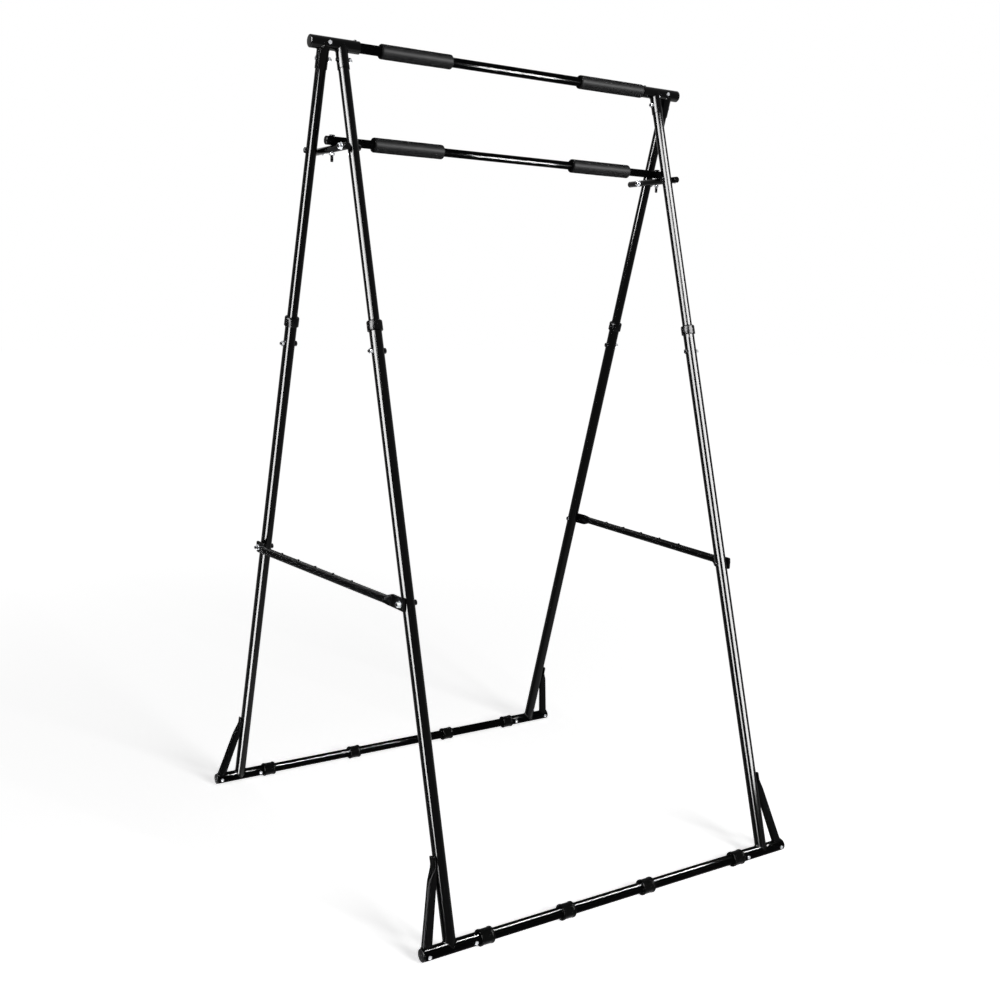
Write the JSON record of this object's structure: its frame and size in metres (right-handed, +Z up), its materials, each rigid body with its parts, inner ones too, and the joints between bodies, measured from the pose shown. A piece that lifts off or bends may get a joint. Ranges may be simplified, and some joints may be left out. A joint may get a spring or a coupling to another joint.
{
  "type": "pull-up stand",
  "caption": "Freestanding pull-up bar: two leaning leg frames that telescope, a top and a lower bar with foam grips, tubes along the floor and a crossbar on each side.",
  "frame": {"origin": "centre of the footprint, on the floor", "axes": "+Z up, +X to the right along the bars, -Y to the front"},
  "size_m": [1.2718, 1.274, 2.169],
  "materials": {
    "black_enamel": "gloss",
    "grip_foam": "matte foam",
    "black_plastic": "satin",
    "floor_rubber": "matte",
    "bright_zinc": "bright zinc plating"
  },
  "bodies": {
    "rear_base": {"base_cap_rear_left": "black_plastic", "base_cap_rear_right": "black_plastic", "base_tube_rear": "black_enamel", "crossbar_bolt_rear_left": "bright_zinc", "crossbar_bolt_rear_right": "bright_zinc", "floor_ring_rear_left": "floor_rubber", "floor_ring_rear_mid_left": "floor_rubber", "floor_ring_rear_mid_right": "floor_rubber", "floor_ring_rear_right": "floor_rubber", "leg_collar_rear_left": "black_plastic", "leg_collar_rear_right": "black_plastic", "lock_bolt_rear_left": "bright_zinc", "lock_bolt_rear_right": "bright_zinc", "lower_leg_rear_left": "black_enamel", "lower_leg_rear_right": "black_enamel"},
    "upper_frame": {"bar_bolt_left": "bright_zinc", "bar_bolt_right": "bright_zinc", "bar_carrier_left": "black_enamel", "bar_carrier_right": "black_enamel", "carrier_bolt_front_left": "bright_zinc", "carrier_bolt_front_right": "bright_zinc", "carrier_bolt_rear_left": "bright_zinc", "carrier_bolt_rear_right": "bright_zinc", "head_cap_left": "black_plastic", "head_cap_right": "black_plastic", "head_left": "black_enamel", "head_right": "black_enamel", "lower_bar": "black_enamel", "lower_grip_left": "grip_foam", "lower_grip_right": "grip_foam", "seat_bolt_left": "bright_zinc", "seat_bolt_right": "bright_zinc", "socket_bolt_front_left": "bright_zinc", "socket_bolt_front_right": "bright_zinc", "socket_bolt_rear_left": "bright_zinc", "socket_bolt_rear_right": "bright_zinc", "top_bar": "black_enamel", "top_grip_left": "grip_foam", "top_grip_right": "grip_foam", "upper_leg_front_left": "black_enamel", "upper_leg_front_right": "black_enamel", "upper_leg_rear_left": "black_enamel", "upper_leg_rear_right": "black_enamel"},
    "front_base": {"base_cap_front_left": "black_plastic", "base_cap_front_right": "black_plastic", "base_tube_front": "black_enamel", "crossbar_bolt_front_left": "bright_zinc", "crossbar_bolt_front_right": "bright_zinc", "floor_ring_front_left": "floor_rubber", "floor_ring_front_mid_left": "floor_rubber", "floor_ring_front_mid_right": "floor_rubber", "floor_ring_front_right": "floor_rubber", "leg_collar_front_left": "black_plastic", "leg_collar_front_right": "black_plastic", "lock_bolt_front_left": "bright_zinc", "lock_bolt_front_right": "bright_zinc", "lower_leg_front_left": "black_enamel", "lower_leg_front_right": "black_enamel"},
    "crossbar_left": {"crossbar_left": "black_enamel"},
    "crossbar_right": {"crossbar_right": "black_enamel"}
  },
  "joints": [
    {"name": "rear_legs_telescope", "type": "slide", "parent": "rear_base", "child": "upper_frame", "axis": [0, -0.2781, 0.9606], "range_m": [0, 0.2]},
    {"name": "front_legs_telescope", "type": "slide", "parent": "upper_frame", "child": "front_base", "axis": [0, -0.2781, -0.9606], "range_m": [0, 0.2]},
    {"name": "crossbar_left_swing", "type": "hinge", "parent": "rear_base", "child": "crossbar_left", "pos_m": [-0.5739, 0.38967, 0.804], "axis": [1, 0, 0], "range_deg": [0, 65]},
    {"name": "crossbar_right_swing", "type": "hinge", "parent": "rear_base", "child": "crossbar_right", "pos_m": [0.5739, 0.38967, 0.804], "axis": [1, 0, 0], "range_deg": [0, 65]}
  ],
  "couplings": [
    {"joint": "front_legs_telescope", "follows": "rear_legs_telescope", "ratio": 1}
  ]
}
